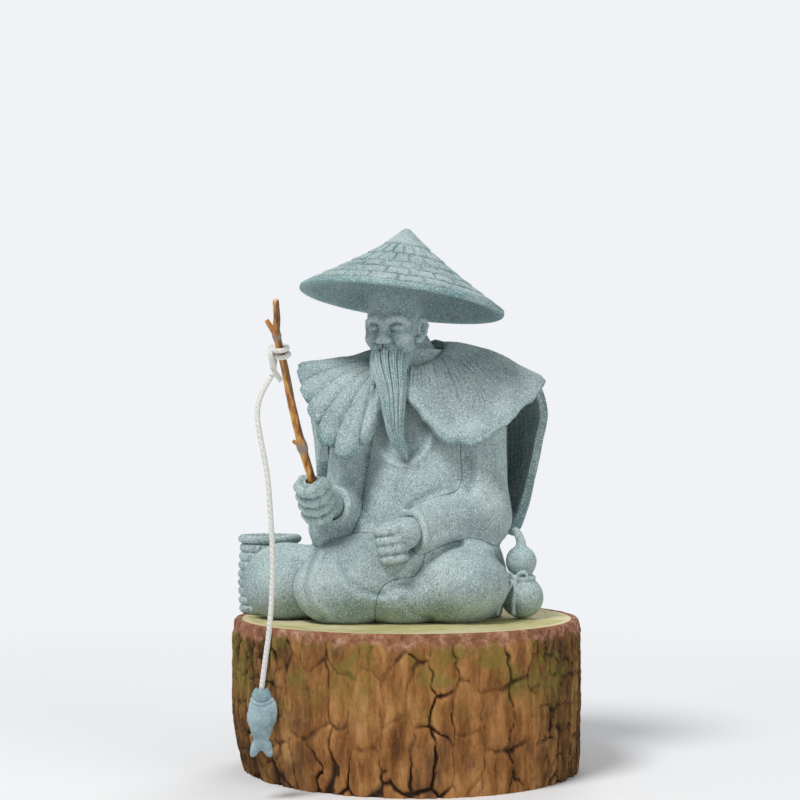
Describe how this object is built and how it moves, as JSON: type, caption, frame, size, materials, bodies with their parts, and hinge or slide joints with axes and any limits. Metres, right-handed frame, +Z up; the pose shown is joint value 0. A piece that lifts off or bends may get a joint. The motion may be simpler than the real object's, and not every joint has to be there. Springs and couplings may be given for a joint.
{
  "type": "okimono carving",
  "caption": "Seated fisherman okimono carving in green sandstone with woven hat, straw cape, creel and gourd, holding a twig rod with a cotton line and a fish, on a log slice.",
  "frame": {"origin": "middle of the log's flat foot, on the surface that it stands on", "axes": "+Z up, -Y the way the figure looks, +X to the figure's left"},
  "size_m": [0.0872, 0.0928, 0.1341],
  "materials": {
    "wood_end": "sawn",
    "bark": "rough",
    "sandstone": "matte",
    "twig": "satin",
    "cotton": "matte",
    "fish_stone": "satin"
  },
  "bodies": {
    "stump": {"log_heartwood": "wood_end", "log_bark": "bark"},
    "figure": {"torso": "sandstone", "left_leg": "sandstone", "right_leg": "sandstone", "skirt": "sandstone", "left_sleeve": "sandstone", "left_hand": "sandstone", "right_sleeve": "sandstone", "right_hand": "sandstone", "head": "sandstone", "hat": "sandstone", "beard": "sandstone", "shoulder_cape": "sandstone", "back_cape": "sandstone", "creel": "sandstone", "gourd": "sandstone"},
    "rod": {"rod": "twig", "line_knot": "cotton"},
    "line": {"fishing_line": "cotton"},
    "fish": {"fish": "fish_stone"}
  },
  "joints": [
    {"name": "figure_lift", "type": "slide", "parent": "stump", "child": "figure", "axis": [0, 0, 1], "range_m": [0, 0.05]},
    {"name": "rod_pull", "type": "slide", "parent": "figure", "child": "rod", "axis": [-0.1955, -0.5511, 0.8112], "range_m": [0, 0.02]},
    {"name": "line_swing", "type": "hinge", "parent": "rod", "child": "line", "pos_m": [-0.03116, -0.04103, 0.09506], "axis": [0, 1, 0], "range_deg": [-8, 35]},
    {"name": "fish_swing", "type": "hinge", "parent": "line", "child": "fish", "pos_m": [-0.0328, -0.045, 0.025], "axis": [1, 0, 0], "range_deg": [-25, 12]}
  ]
}
